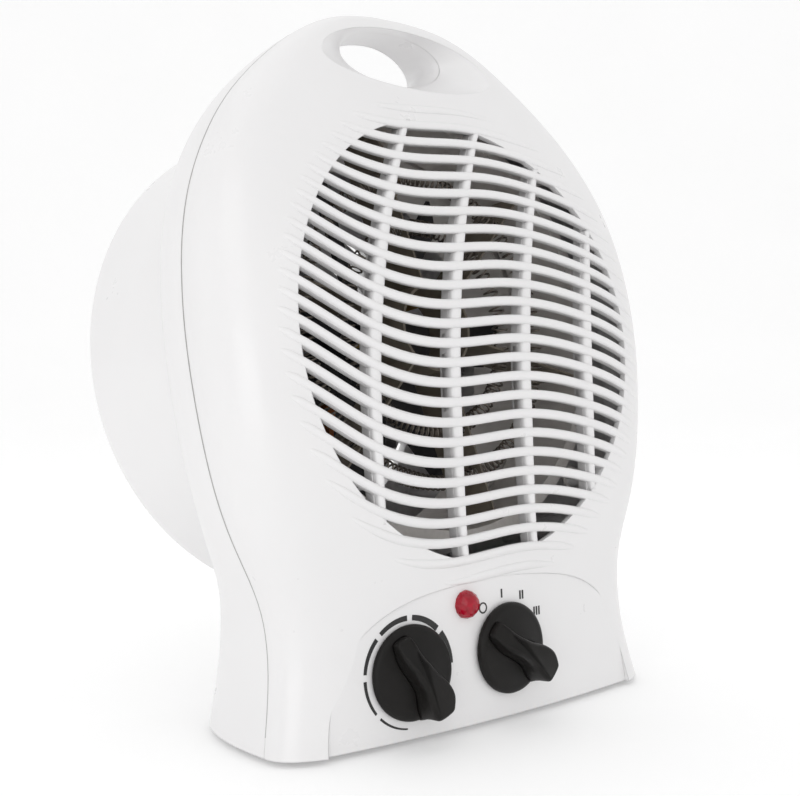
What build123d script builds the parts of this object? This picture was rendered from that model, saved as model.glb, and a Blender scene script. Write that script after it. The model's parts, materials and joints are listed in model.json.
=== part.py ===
from build123d import *
import math
import os

# Upright fan convector heater: an egg-shaped plastic casing that leans back, a wavy front
# grille over a fan and heating element, and a round intake drum behind.
# Millimetres. The body is drawn upright with the fan axis along Y and the front facing -Y,
# then everything leans back about the X axis and stands on the plane z = 0.

LEAN = 9.0                    # how far the body leans back, degrees
FOOT_HEIGHT = 2.0
MIDDLE_Y = 43.18              # half way between the knobs and the back of the drum
WALL = 2.4                    # moulded wall
FLOOR_THICKNESS = 2.6

GRILLE_Z = 128.0              # centre of the round front opening
GRILLE_RADIUS = 77.0
SLOT_PITCH = 6.55
SLOT_HEIGHT = 3.5
SLOT_COUNT = 23
RIB_SPACING = 34.0
RIB_COUNT = 4

AXIS_Z = 134.0                # fan, motor and intake drum
DRUM_RADIUS = 91.0
DRUM_BACK = 82.0
DUCT_RADIUS = 74.0

KNOB_RADIUS = 14.7
KNOB_BASE = 2.6
GRIP_HEIGHT = 11.5
THERMOSTAT_X = -39.0
THERMOSTAT_Z = 19.0
THERMOSTAT_YAW = 5.3          # the left of the panel turns a little to the left
SELECTOR_X = 5.0
SELECTOR_Z = 20.5
SHAFT_RADIUS = 3.0
SHAFT_FLAT = 2.2              # from the middle of the shaft to its flat
SHAFT_REACH = 4.6             # how far the shaft stands out of the panel, inside the knob
THERMOSTAT_POINTER = 112.0    # where each pointer is as the heater stands, degrees from +X towards +Z
SELECTOR_POINTER = 137.0
LAMP_X = -14.0
LAMP_Z = 37.5
LAMP_RADIUS = 4.8
LENS_SEAT = 0.2               # the lens dome stands this far off the bowed panel

HANDLE_STATIONS = [(-16, 54, 13.6, 230.6), (-9, 40, 11.4, 231.6), (-4, 29, 10.3, 233.2),
                   (0, 24, 9.7, 234.2), (12, 22, 9.5, 234.6), (34, 22.4, 9.4, 234.6)]
HANDLE_WALL = 1.8
RIB_BACK = 6.0
RIB_MIDDLE = 4.8
RIB_END = 2.7
# How each slat rises and falls from left to right.
SLAT_WAVE = [(-102, 34), (-76, 20), (-53, 6.4), (-21, -0.8), (13, 1.0), (47, -2.8), (80, -11.8), (102, -21)]

PANEL_RADIUS = 560.0          # the control panel bows this little
PANEL_FRONT = 17.2            # how far its foot stands ahead of the seam
PANEL_SLOPE = 0.105           # and how much further forward per millimetre up
PANEL_TILT = math.degrees(math.atan(PANEL_SLOPE))
PANEL_THICKNESS = 2.6
PANEL_ARCH = [(-73, -14), (-72, 0), (-67.5, 17), (-60, 30), (-43, 40), (-22, 43.8), (0, 45),
              (22, 43.8), (43, 40), (60, 30), (67.5, 17), (72, 0), (73, -14)]
EAR_SPACING = 17.0            # from a control's shaft to each of its screws
EAR_DEPTH = 9.0               # from the face of the panel to a control's eared plate
EAR_POST = 2.8

DRUM_ROUND = 8.0
INTAKE_RADIUS = 68.0
SHIELD_RADIUS = 73.0
SHIELD_FRONT = -11.0
SHIELD_BACK = 18.0
DUCT_FLANGE_BACK = 22.4
DUCT_END = 48.0
CARD_COUNT = 6
CARD_INNER = 15.0
CARD_FRONT = -8.0
CARD_BACK = 12.0
OUTER_COIL = 55.0
INNER_COIL = 37.0
COIL_TUBE = 3.0
COIL_Y = -3.0
CUTOUT_SPOT = (0, 14, 134 + 58)
STRAP_TOP = 14.1              # above the middle of the cut-out
FAN_RADIUS = 67.0
FAN_FRONT = 25.0
FAN_BACK = 39.0
FRONT_BRACKET_Y = 42.0
STATOR_FRONT = 48.0
STATOR_BACK = 62.0
MOUNT_BACK = 69.2
MOTOR_SHAFT = 2.0
MOTOR_BOLT = 1.6
MOTOR_BOLT_X = 19.0
POST_CIRCLE = 82.0            # the posts for the shield, duct and motor mount stand on this radius
BLADE_COUNT = 7
BLADE_PITCH = 36.0
ROTOR_RADIUS = 12.0

BOSS_RADIUS = 4.6
POST_RADIUS = 3.4
CASING_SCREW = 1.7
CASING_SCREW_HEAD = 3.4
CASING_SCREW_Y = 16.0
SMALL_SCREW = 1.25
HOLE_PLAY = 0.03
RUNNING_FIT = 0.05
FOOT_RADIUS = 6.0
FOOT_PEG = 2.5
GLAND_RADIUS = 6.0
GLAND_FLANGE_RADIUS = 8.5
GLAND_FLANGE_START = 2.2      # behind the middle of the gland
GLAND_FLANGE_END = 5.0
CORD_PASSAGE = 3.6

KNOB_GAP = 0.6                # between the panel and the knob's skirt
# The grip from the fat end to the pointer: place along it, sideways swing, half width.
GRIP_LINE = [(-15.6, 0.9, 2.2), (-14.0, 1.0, 3.9), (-9.5, 1.2, 4.7), (-4, 0.6, 3.5), (2, -0.8, 2.5),
             (8, -1.2, 2.0), (12.5, -0.6, 1.5), (14.2, -0.3, 0.8)]
SCALE_RADIUS = 18.2
INK = 0.12

# Height, half width, depth of the front, depth of the rear, and how square the rear is.
SECTIONS = [
    (-8, 87.5, 20.5, 68, 3.0),
    (0, 86.4, 20.5, 68, 3.0),
    (20, 82.3, 20.6, 65, 3.0),
    (33, 81.1, 21.0, 60, 3.0),
    (43, 81.8, 21.8, 50, 3.4),
    (54, 84.9, 23.4, 38, 4.0),
    (66, 89.6, 25.8, 30, 4.6),
    (80, 93.8, 28.4, 26, 5.0),
    (96, 96.7, 31.0, 26, 5.0),
    (114, 98.6, 32.8, 26, 5.0),
    (132, 99.4, 33.3, 26, 5.0),
    (150, 98.7, 32.2, 26, 5.0),
    (166, 96.5, 30.0, 26, 5.0),
    (182, 91.9, 26.6, 26, 5.0),
    (196, 85.3, 22.4, 26, 4.8),
    (208, 77.5, 18.0, 25.5, 4.4),
    (219, 67.7, 13.8, 24.5, 4.0),
    (229, 56.3, 10.4, 22.5, 3.6),
    (237, 45.1, 8.0, 19.0, 3.2),
    (243, 33.9, 5.8, 14.5, 3.0),
    (246.4, 23.4, 4.0, 10.0, 2.8),
    (248.2, 12.4, 2.4, 6.0, 2.6),
]
FRONT_SQUARENESS = 2.6        # at the foot
GRILLE_SQUARENESS = 3.5       # and from the grille up

lean = Rot(-LEAN, 0, 0)


def stand(shape):
    """Lean an upright shape back, as it stands, with the origin under the middle of the heater."""
    return Pos(0, -MIDDLE_Y, FOOT_HEIGHT) * lean * shape


def save(shape, name):
    export_step(stand(shape), f"parts/{name}.step")


def group(shapes):
    """Keep separate solids of one kind together in one node."""
    solids = []
    for shape in shapes:
        solids.extend(shape.solids())
    return Compound(children=solids)


def rod(radius, start, end, inner=0.0):
    """A round bar or tube along Y at the origin, from y = start to y = end."""
    bar = Solid.make_cylinder(radius, end - start, Plane((0, start, 0), z_dir=(0, 1, 0)))
    if inner > 0:
        core = Solid.make_cylinder(inner, end - start + 2, Plane((0, start - 1, 0), z_dir=(0, 1, 0)))
        bar = bar - core
    return bar


def block(x0, x1, y0, y1, z0, z1):
    return Pos((x0 + x1) / 2, (y0 + y1) / 2, (z0 + z1) / 2) * Box(x1 - x0, y1 - y0, z1 - z0)


def half_oval(width, depth, squareness, side, count=13):
    """Points of half a squared oval from +X round to -X; side is -1 for the front, +1 for the rear."""
    points = []
    for i in range(count):
        angle = math.pi * i / (count - 1)
        c, s = math.cos(angle), math.sin(angle)
        x = math.copysign(abs(c) ** (2 / squareness), c) * width if abs(c) > 1e-9 else 0.0
        y = side * depth * abs(s) ** (2 / squareness) if 0 < i < count - 1 else 0.0
        points.append((x, y))
    return points


def casing_section(z, width, front, rear, rear_squareness, inset):
    """One level section of the casing: a front curve and a rear curve that meet at the seam."""
    width, front, rear = width - inset, max(front - inset, 0.6), max(rear - inset, 1.0)
    rise = max(0.0, min(1.0, (z - 20) / 50))
    squareness = FRONT_SQUARENESS + (GRILLE_SQUARENESS - FRONT_SQUARENESS) * rise
    ahead = half_oval(width, front, squareness, -1)
    behind = half_oval(width, rear, rear_squareness, 1)
    edges = [Edge.make_spline([Vector(x, y, z) for x, y in points]) for points in (ahead, behind)]
    return Wire(edges)


def casing_body(inset=0.0):
    """The whole egg-shaped body, or the space left inside it by a wall as thick as the inset."""
    rows = [row for row in SECTIONS if row[2] > inset * 2 + 0.1]
    wires = []
    for z, width, front, rear, squareness in rows:
        wires.append(casing_section(z, width, front, rear, squareness, inset))
    return Solid.make_loft(wires)


def under(height):
    """Everything below a level plane this far above the casing's underside."""
    return Rot(LEAN, 0, 0) * Pos(0, 20, height - 40) * Box(400, 400, 80)


def handle_passage(extra=0.0):
    """The handle opening: a wide scoop in front that narrows to a short oval passage."""
    wires = []
    for y, half_wide, half_high, z in HANDLE_STATIONS:
        plane = Plane((0, y, z), x_dir=(1, 0, 0), z_dir=(0, -1, 0))
        wires.append(Wire([Edge.make_ellipse(half_wide + extra, half_high + extra, plane)]))
    return Solid.make_loft(wires)


def polar(radius, angle, z=0.0):
    """X and Z of a point on a circle around the height z; the angle runs from +X towards +Z."""
    return radius * math.cos(math.radians(angle)), z + radius * math.sin(math.radians(angle))


def screw(x, z, head_y, length, radius, head_radius, head_height=1.8, inward=1):
    """A pan-head screw along Y whose head sits at head_y and whose shank runs inward."""
    top = head_y - inward * head_height
    tip = head_y + inward * length
    recess = top + inward * 0.9
    head = rod(head_radius, min(head_y, top), max(head_y, top))
    shank = rod(radius, min(head_y, tip), max(head_y, tip))
    whole = head + shank
    for wide, high in ((0.4, head_radius * 0.6), (head_radius * 0.6, 0.4)):
        whole -= block(-wide, wide, min(top, recess), max(top, recess), -high, high)
    return Pos(x, 0, z) * whole


# ---- where things are fixed ---------------------------------------------------------------

CASING_BOSSES = [(-58, 208), (58, 208), (-64, 58), (64, 58)]
CORNER_ANGLES = (45, 135, 225, 315)
SIDE_ANGLES = (0, 90, 180, 270)
SHIELD_POSTS = [polar(POST_CIRCLE, angle, AXIS_Z) for angle in CORNER_ANGLES]
DUCT_POSTS = [polar(POST_CIRCLE, angle, AXIS_Z) for angle in CORNER_ANGLES]
MOUNT_POSTS = [polar(POST_CIRCLE, angle, AXIS_Z) for angle in SIDE_ANGLES]
FOOT_SPOTS = [(-64, 8), (64, 8), (-52, 50), (52, 50)]
GLAND_X = 45.0
GLAND_Y = 61.0
GLAND_Z = 19.0


def panel_y(x, z):
    """The control panel leans a little and bows a little from side to side."""
    return -PANEL_FRONT - PANEL_SLOPE * z + x * x / (2 * PANEL_RADIUS)


def panel_drum(depth):
    """The big cylinder whose front is the panel, this far under its surface."""
    return (Pos(0, -PANEL_FRONT, 0) * Rot(PANEL_TILT, 0, 0) * Pos(0, PANEL_RADIUS, 0)
            * Cylinder(PANEL_RADIUS - depth, 220))


def on_panel(x, z, yaw=0.0):
    """A place on the panel, with -Y pointing straight out of it."""
    return Pos(x, panel_y(x, z), z) * Rot(0, 0, -yaw) * Rot(PANEL_TILT, 0, 0)


THERMOSTAT = on_panel(THERMOSTAT_X, THERMOSTAT_Z, THERMOSTAT_YAW)
SELECTOR = on_panel(SELECTOR_X, SELECTOR_Z)
LAMP = on_panel(LAMP_X, LAMP_Z)


# ---- casing -------------------------------------------------------------------------------

def wave_strip(z, height):
    """A wavy bar through the front at one level, as high as the gap between two slats."""
    edges = []
    for side in (1, -1):
        points = [Vector(x, -46, z + rise + side * height / 2) for x, rise in SLAT_WAVE]
        edges.append(Edge.make_spline(points))
    upper, lower = edges
    ends = [Edge.make_line(lower @ 0, upper @ 0), Edge.make_line(lower @ 1, upper @ 1)]
    return Solid.extrude(Face(Wire([upper, lower] + ends)), Vector(0, 46, 0))


def grille_slots():
    """Slots right through the round grille."""
    opening = Pos(0, 0, GRILLE_Z) * rod(GRILLE_RADIUS, -50, -3)
    slots = []
    for k in range(SLOT_COUNT):
        strip = wave_strip(GRILLE_Z + (k - SLOT_COUNT // 2) * SLOT_PITCH, SLOT_HEIGHT)
        slots += (strip & opening).solids()
    return slots


def rib_bow(z):
    """How far a rib stands to the right of its foot line, level by level."""
    if z > 105:
        return 33.0 * ((z - 105) / 93) ** 2
    return 4.0 * ((105 - z) / 50) ** 2


def grille_rib(x):
    """One upright rib behind the slats, bowed, and widest in the middle."""
    sides = []
    for side in (-1, 1):
        points = []
        for i in range(10):
            z = 40 + 178 * i / 9
            half = RIB_END / 2 + (RIB_MIDDLE - RIB_END) / 2 * math.sin(math.pi * i / 9)
            points.append(Vector(x + rib_bow(z) + side * half, -46, z))
        sides.append(Edge.make_spline(points))
    left, right = sides
    ends = [Edge.make_line(left @ 0, right @ 0), Edge.make_line(left @ 1, right @ 1)]
    return Solid.extrude(Face(Wire([left, right] + ends)), Vector(0, 46, 0))


def grille_ribs():
    """Four bowed ribs that lie against the backs of the slats and hold them."""
    space = (casing_body(WALL) - casing_body(RIB_BACK)) & block(-120, 120, -60, -6, 0, 230)
    space = space & (Pos(0, 0, GRILLE_Z) * rod(GRILLE_RADIUS + 3, -60, -6))
    return group([space & grille_rib(RIB_SPACING * (i - (RIB_COUNT - 1) / 2)) for i in range(RIB_COUNT)])


def arch_prism():
    """The arch-shaped outline of the control panel, as a bar from front to back."""
    curve = Edge.make_spline([Vector(x, -60, z) for x, z in PANEL_ARCH])
    return Solid.extrude(Face(Wire([curve, Edge.make_line(curve @ 1, curve @ 0)])), Vector(0, 60, 0))


def front_casing(outer, inner):
    ahead = block(-120, 120, -60, 0, -40, 260)
    shell = (outer - inner) & ahead
    arch = arch_prism()
    panel_back = (outer & ahead & arch) & (panel_drum(0) - panel_drum(PANEL_THICKNESS))
    passage_wall = handle_passage(HANDLE_WALL) & outer & ahead
    casing = shell + panel_back + passage_wall
    for x, z in CASING_BOSSES:
        casing += (Pos(x, 0, z) * rod(BOSS_RADIUS, -60, 0)) & outer
    for x, z in SHIELD_POSTS:
        casing += (Pos(x, 0, z) * rod(POST_RADIUS, -60, SHIELD_FRONT)) & outer
    for frame in (THERMOSTAT, SELECTOR):
        for side in (-1, 1):
            post = rod(EAR_POST, PANEL_THICKNESS - 0.5, EAR_DEPTH)
            casing += frame * (Pos(side * EAR_SPACING, 0, 0) * post)
    casing = casing - (arch - panel_drum(0)) - handle_passage()
    casing = casing.cut(*grille_slots())
    for x, z in CASING_BOSSES:
        casing -= Pos(x, 0, z) * rod(CASING_SCREW + HOLE_PLAY, -9, 1)
    for x, z in SHIELD_POSTS:
        casing -= Pos(x, 0, z) * rod(SMALL_SCREW + HOLE_PLAY, SHIELD_FRONT - 7, SHIELD_FRONT + 1)
    for frame in (THERMOSTAT, SELECTOR):
        casing -= frame * rod(SHAFT_RADIUS + 0.6, -10, 6)
        for side in (-1, 1):
            hole = rod(SMALL_SCREW + HOLE_PLAY, EAR_DEPTH - 6, EAR_DEPTH + 1)
            casing -= frame * (Pos(side * EAR_SPACING, 0, 0) * hole)
    casing -= LAMP * rod(LAMP_RADIUS - 0.8 + HOLE_PLAY, -10, 8)
    return casing


def rear_casing(outer, inner):
    behind = block(-120, 120, 0, 140, -40, 260)
    drum = Pos(0, 0, AXIS_Z) * rod(DRUM_RADIUS, 18, DRUM_BACK)
    drum = fillet(drum.edges().filter_by(GeomType.CIRCLE).sort_by(Axis.Y)[-1], DRUM_ROUND)
    drum_space = Pos(0, 0, AXIS_Z) * rod(DRUM_RADIUS - WALL, 17, DRUM_BACK - WALL)
    drum_space = fillet(drum_space.edges().filter_by(GeomType.CIRCLE).sort_by(Axis.Y)[-1], DRUM_ROUND - WALL)
    casing = ((outer + drum) - inner - drum_space) & behind
    casing += handle_passage(HANDLE_WALL) & outer & behind
    whole = outer + drum
    for x, z in CASING_BOSSES:
        casing += (Pos(x, 0, z) * rod(BOSS_RADIUS, 0, 60)) & outer
    for x, z in DUCT_POSTS:
        casing += (Pos(x, 0, z) * rod(POST_RADIUS + 0.6, DUCT_FLANGE_BACK, DRUM_BACK - 1)) & whole
    for x, z in MOUNT_POSTS:
        casing += (Pos(x, 0, z) * rod(POST_RADIUS + 0.6, MOUNT_BACK, DRUM_BACK - 1)) & whole
    casing -= handle_passage()
    casing -= Pos(0, 0, AXIS_Z) * rod(INTAKE_RADIUS, DRUM_BACK - 6, DRUM_BACK + 2)
    for x, z in CASING_BOSSES:
        casing -= Pos(x, 0, z) * rod(CASING_SCREW + 0.3, -1, 40)
        casing -= Pos(x, 0, z) * rod(CASING_SCREW_HEAD + 0.6, CASING_SCREW_Y, 60)
    for x, z in DUCT_POSTS:
        casing -= Pos(x, 0, z) * rod(SMALL_SCREW + HOLE_PLAY, DUCT_FLANGE_BACK - 1, DUCT_FLANGE_BACK + 8)
    for x, z in MOUNT_POSTS:
        casing -= Pos(x, 0, z) * rod(SMALL_SCREW + HOLE_PLAY, 60, MOUNT_BACK + 3)
    casing -= Pos(GLAND_X, 0, GLAND_Z) * rod(GLAND_RADIUS + HOLE_PLAY, 48, 80)
    flange_seat = rod(GLAND_FLANGE_RADIUS + 0.3, GLAND_Y + GLAND_FLANGE_START - 0.05, 90)
    casing -= Pos(GLAND_X, 0, GLAND_Z) * flange_seat
    for x, y in FOOT_SPOTS:
        casing -= Rot(LEAN, 0, 0) * Pos(x, y, 0) * Cylinder(FOOT_PEG + HOLE_PLAY, 12)
    return casing


def rear_grille():
    """A round clip-in cover with rings of slots in front of the fan."""
    plate = rod(INTAKE_RADIUS - HOLE_PLAY, DRUM_BACK - WALL - 0.2, DRUM_BACK)
    lip = rod(INTAKE_RADIUS + 3, DRUM_BACK - WALL - 2.0, DRUM_BACK - WALL)
    cover = plate + lip
    for ring in range(7):
        radius = 16 + ring * 7.6
        gap = rod(radius + 4.2, 60, 90, inner=radius)
        for angle in range(0, 360, 60):
            gap -= Rot(0, angle + 30, 0) * block(0, 90, 60, 90, -1.8, 1.8)
        cover -= gap
    return Pos(0, 0, AXIS_Z) * cover


def foot_pads():
    pads = []
    for x, y in FOOT_SPOTS:
        pad = Pos(0, 0, -FOOT_HEIGHT / 2) * Cylinder(FOOT_RADIUS, FOOT_HEIGHT)
        pad = chamfer(pad.edges().sort_by(Axis.Z)[0], 0.5)
        peg = Pos(0, 0, 2.2) * Cylinder(FOOT_PEG, 4.4)
        pads.append(Rot(LEAN, 0, 0) * Pos(x, y, 0) * (pad + peg))
    return group(pads)


def casing_screws():
    return group([screw(x, z, CASING_SCREW_Y, CASING_SCREW_Y + 8, CASING_SCREW, CASING_SCREW_HEAD, 2.2, -1)
                  for x, z in CASING_BOSSES])


# ---- heater -------------------------------------------------------------------------------

def heat_shield():
    """A sheet-metal ring around the elements, screwed to the front casing by four ears."""
    ring = rod(SHIELD_RADIUS, SHIELD_FRONT, SHIELD_BACK, inner=SHIELD_RADIUS - 0.8)
    flange = rod(SHIELD_RADIUS + 4, SHIELD_FRONT, SHIELD_FRONT + 0.8, inner=SHIELD_RADIUS - 0.8)
    shield = Pos(0, 0, AXIS_Z) * (ring + flange)
    for x, z in SHIELD_POSTS:
        ear = Pos(x, 0, z) * rod(4.4, SHIELD_FRONT, SHIELD_FRONT + 0.8)
        shield += ear - Pos(0, 0, AXIS_Z) * rod(SHIELD_RADIUS, -40, 40)
    for x, z in SHIELD_POSTS:
        shield -= Pos(x, 0, z) * rod(SMALL_SCREW + 0.2, -20, 0)
    return shield


def shield_screws():
    return group([screw(x, z, SHIELD_FRONT + 0.8, 7, SMALL_SCREW, 2.8, 1.5, -1) for x, z in SHIELD_POSTS])


def mica_frame():
    """Six mica cards on a mica tube, notched where the coils pass."""
    frame = rod(CARD_INNER + 1.0, CARD_FRONT, CARD_BACK, inner=CARD_INNER)
    for i in range(CARD_COUNT):
        angle = 360 / CARD_COUNT * i + 15
        card = block(CARD_INNER + 0.5, SHIELD_RADIUS - 0.9, CARD_FRONT, CARD_BACK, -0.4, 0.4)
        for radius in (OUTER_COIL, INNER_COIL):
            card -= Pos(radius, COIL_Y, 0) * Cylinder(COIL_TUBE + 0.3, 4)
        frame += Rot(0, angle, 0) * card
    return Pos(0, 0, AXIS_Z) * frame


def coil(radius):
    return Pos(0, COIL_Y, AXIS_Z) * Rot(90, 0, 0) * Torus(radius, COIL_TUBE)


def coil_terminals():
    """Three riveted tabs on the edge of the mica tube."""
    tabs = []
    for angle in (60, 180, 300):
        x, z = polar(CARD_INNER - 0.75, angle, AXIS_Z)
        tab = block(-3, 3, CARD_BACK - 6, CARD_BACK + 8, -0.4, 0.4)
        tab -= Pos(0, CARD_BACK + 5, 0) * Cylinder(1.0, 4)
        tabs.append(Pos(x, 0, z) * Rot(0, 90 - angle, 0) * tab)
    return group(tabs)


def thermal_cutout():
    """A bimetal disc cut-out on a strap that reaches the shield, with two tabs."""
    body = Cylinder(7.5, 6) + Pos(0, 0, 4) * Cylinder(5, 2)
    tabs = Pos(-4.5, 0, -5.5) * Box(0.8, 5, 6) + Pos(4.5, 0, -5.5) * Box(0.8, 5, 6)
    strap = block(-3, 3, -1, 0, 6, STRAP_TOP)
    return Rot(90, 0, 0) * (body + tabs) + strap


# ---- fan and motor ------------------------------------------------------------------------

def fan_duct():
    """The ring the fan turns in, screwed to four posts of the rear casing."""
    duct = rod(DUCT_RADIUS, DUCT_FLANGE_BACK - 1.6, DUCT_END, inner=DUCT_RADIUS - 1.8)
    duct += rod(DUCT_RADIUS + 4, DUCT_FLANGE_BACK - 1.6, DUCT_FLANGE_BACK, inner=DUCT_RADIUS - 1.8)
    duct = Pos(0, 0, AXIS_Z) * duct
    for x, z in DUCT_POSTS:
        ear = Pos(x, 0, z) * rod(4.6, DUCT_FLANGE_BACK - 1.6, DUCT_FLANGE_BACK)
        duct += ear - Pos(0, 0, AXIS_Z) * rod(DUCT_RADIUS - 0.5, 0, 60)
    for x, z in DUCT_POSTS:
        duct -= Pos(x, 0, z) * rod(SMALL_SCREW + 0.2, 10, 40)
    return duct


def duct_screws():
    return group([screw(x, z, DUCT_FLANGE_BACK - 1.6, 9, SMALL_SCREW, 2.8, 1.5, 1) for x, z in DUCT_POSTS])


def fan_impeller():
    """A hub with seven pitched blades."""
    hub = rod(9, FAN_FRONT, FAN_BACK, inner=MOTOR_SHAFT + 0.02)
    middle = (FAN_FRONT + FAN_BACK) / 2
    blade = Rot(BLADE_PITCH, 0, 0) * Pos((8 + FAN_RADIUS) / 2, 0, 0) * Box(FAN_RADIUS - 8, 1.6, 19)
    fan = hub
    for i in range(BLADE_COUNT):
        fan += Pos(0, middle, 0) * Rot(0, i * 360 / BLADE_COUNT, 0) * blade
    fan = fan & rod(FAN_RADIUS, FAN_FRONT, FAN_BACK)
    return Pos(0, 0, AXIS_Z) * fan


def stator():
    """A pile of laminations with a bore for the rotor and a window for the coil."""
    plates = block(-24, 24, STATOR_FRONT, STATOR_BACK, -38, 22)
    plates -= rod(ROTOR_RADIUS + 0.5, 0, 90)
    plates -= block(-15, 15, 0, 90, -30, -17)
    for side in (-1, 1):
        plates -= Pos(side * MOTOR_BOLT_X, 0, 0) * rod(MOTOR_BOLT + HOLE_PLAY, 0, 90)
    return Pos(0, 0, AXIS_Z) * plates


def motor_coil():
    """The wound bobbin on the lower leg of the stator."""
    coil_block = block(-13, 13, STATOR_FRONT - 5, STATOR_BACK + 5, -43, -18)
    coil_block -= block(-20, 20, STATOR_FRONT - 0.05, STATOR_BACK + 0.05, -38.05, -29.95)
    return Pos(0, 0, AXIS_Z) * coil_block


def motor_bracket(start, end):
    """A cast bar across the stator that carries a shaft bearing."""
    bar = block(-24, 24, start, end, -5, 5) + rod(9, start, end)
    bar -= rod(MOTOR_SHAFT + 0.04, 0, 90)
    for side in (-1, 1):
        bar -= Pos(side * MOTOR_BOLT_X, 0, 0) * rod(MOTOR_BOLT + HOLE_PLAY, 0, 90)
    return Pos(0, 0, AXIS_Z) * bar


def motor_screws():
    """Two long screws with nuts that clamp the motor to its mount."""
    screws = []
    for side in (-1, 1):
        length = MOUNT_BACK - FRONT_BRACKET_Y + 2.1
        bolt = screw(side * MOTOR_BOLT_X, AXIS_Z, FRONT_BRACKET_Y, length, MOTOR_BOLT, 3.0, 1.4, 1)
        nut = Pos(side * MOTOR_BOLT_X, 0, AXIS_Z) * (rod(3.2, MOUNT_BACK, MOUNT_BACK + 2.0))
        screws.append(bolt + nut)
    return group(screws)


def motor_mount():
    """A sheet-metal cross whose arms reach the posts in the drum."""
    plate = rod(27, MOUNT_BACK - 1.2, MOUNT_BACK)
    plate += block(-86, 86, MOUNT_BACK - 1.2, MOUNT_BACK, -6, 6)
    plate += block(-6, 6, MOUNT_BACK - 1.2, MOUNT_BACK, -86, 86)
    plate -= rod(10, 0, 90)
    for x, z in MOUNT_POSTS:
        plate -= Pos(x, 0, z - AXIS_Z) * rod(SMALL_SCREW + 0.2, 0, 90)
    for side in (-1, 1):
        plate -= Pos(side * MOTOR_BOLT_X, 0, 0) * rod(MOTOR_BOLT + HOLE_PLAY, 0, 90)
    return Pos(0, 0, AXIS_Z) * plate


def mount_screws():
    return group([screw(x, z, MOUNT_BACK - 1.2, 4, SMALL_SCREW, 2.8, 1.5, 1) for x, z in MOUNT_POSTS])


# ---- controls -----------------------------------------------------------------------------

def control_body(frame, width, height, depth):
    """A control behind the panel: a moulded case on an eared plate, open for its shaft."""
    plate = block(-EAR_SPACING - 3.5, EAR_SPACING + 3.5, EAR_DEPTH, EAR_DEPTH + 1.2, -5, 5)
    case = block(-width / 2, width / 2, EAR_DEPTH, EAR_DEPTH + depth, -height / 2, height / 2)
    neck = rod(5.0, EAR_DEPTH - 3, EAR_DEPTH + 1)
    body = plate + case + neck - rod(SHAFT_RADIUS + RUNNING_FIT, 0, EAR_DEPTH + depth - 2)
    back = EAR_DEPTH + depth
    for x in (-width / 4, 0, width / 4):
        body += block(x - 2.4, x + 2.4, back, back + 7, -height / 4, -height / 4 + 0.8)
    for side in (-1, 1):
        hole = Pos(side * EAR_SPACING, 0, 0)
        body -= hole * rod(SMALL_SCREW + 0.2, EAR_DEPTH - 1, EAR_DEPTH + 1.2)
        body -= hole * rod(3.0, EAR_DEPTH + 1.2, EAR_DEPTH + depth + 1)
    return frame * body


def control_shaft(frame):
    """A D-shaped shaft from inside the control out into the knob."""
    shaft = rod(SHAFT_RADIUS, -SHAFT_REACH, EAR_DEPTH + 8)
    shaft -= block(-5, 5, -SHAFT_REACH - 1, -0.5, SHAFT_FLAT, 5)
    return frame * shaft


def control_screws():
    screws = []
    for frame in (THERMOSTAT, SELECTOR):
        for side in (-1, 1):
            screws.append(frame * screw(side * EAR_SPACING, 0, EAR_DEPTH + 1.2, 6, SMALL_SCREW, 2.6, 1.4, -1))
    return group(screws)


def knob(frame, pointer):
    """A round skirt with an S-shaped grip: narrow at the pointer, fat at the other end."""
    skirt = rod(KNOB_RADIUS, -KNOB_GAP - KNOB_BASE, -KNOB_GAP)
    skirt = fillet(skirt.edges().sort_by(Axis.Y)[0], 0.9)
    points = []
    for side in (1, -1):
        steps = range(len(GRIP_LINE)) if side == 1 else reversed(range(len(GRIP_LINE)))
        for i in steps:
            along, across, half = GRIP_LINE[i]
            points.append((along, across + side * half))
    turn = math.radians(pointer)
    outline = []
    for along, across in points:
        x = along * math.cos(turn) - across * math.sin(turn)
        z = along * math.sin(turn) + across * math.cos(turn)
        outline.append(Vector(x, -KNOB_GAP - 0.5, z))
    face = Face(Wire([Edge.make_spline(outline, periodic=True)]))
    grip = Solid.extrude(face, Vector(0, -(GRIP_HEIGHT - 0.5), 0))
    socket_end = -SHAFT_REACH - HOLE_PLAY
    flat = block(-5, 5, socket_end - 1, 1, SHAFT_FLAT + HOLE_PLAY, 5)
    socket = rod(SHAFT_RADIUS + HOLE_PLAY, socket_end, 0) - flat
    return frame * (skirt + grip - socket)


def printed(shapes):
    """Ink: thin marks that follow the face of the panel."""
    skin = panel_drum(-INK) - panel_drum(0)
    marks = []
    for shape in shapes:
        marks += (shape & skin).solids()
    return group([mark for mark in marks if mark.center().Y < 50])


def arc_mark(x, z, inner, outer, start, end, count=13):
    """A curved bar between two angles; its inner edge may be given at both ends."""
    inner_start, inner_end = inner
    points = [polar(outer, start + (end - start) * i / count, 0) for i in range(count + 1)]
    for i in reversed(range(count + 1)):
        radius = inner_start + (inner_end - inner_start) * i / count
        points.append(polar(radius, start + (end - start) * i / count, 0))
    face = Face(Wire.make_polygon([Vector(px, -6, pz) for px, pz in points], close=True))
    return Pos(x, 0, z) * Solid.extrude(face, Vector(0, 12, 0))


def thermostat_scale():
    """Six bars around the knob that get thicker as it turns up."""
    bars = []
    for i in range(6):
        start = -96 - i * 45
        thin = SCALE_RADIUS - 0.5 - i * 0.32
        thick = SCALE_RADIUS - 0.8 - i * 0.32
        bars.append(Pos(0, -17, 0) * arc_mark(THERMOSTAT_X, THERMOSTAT_Z, (thin, thick), SCALE_RADIUS,
                                              start, start - 38))
    return printed(bars)


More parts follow.
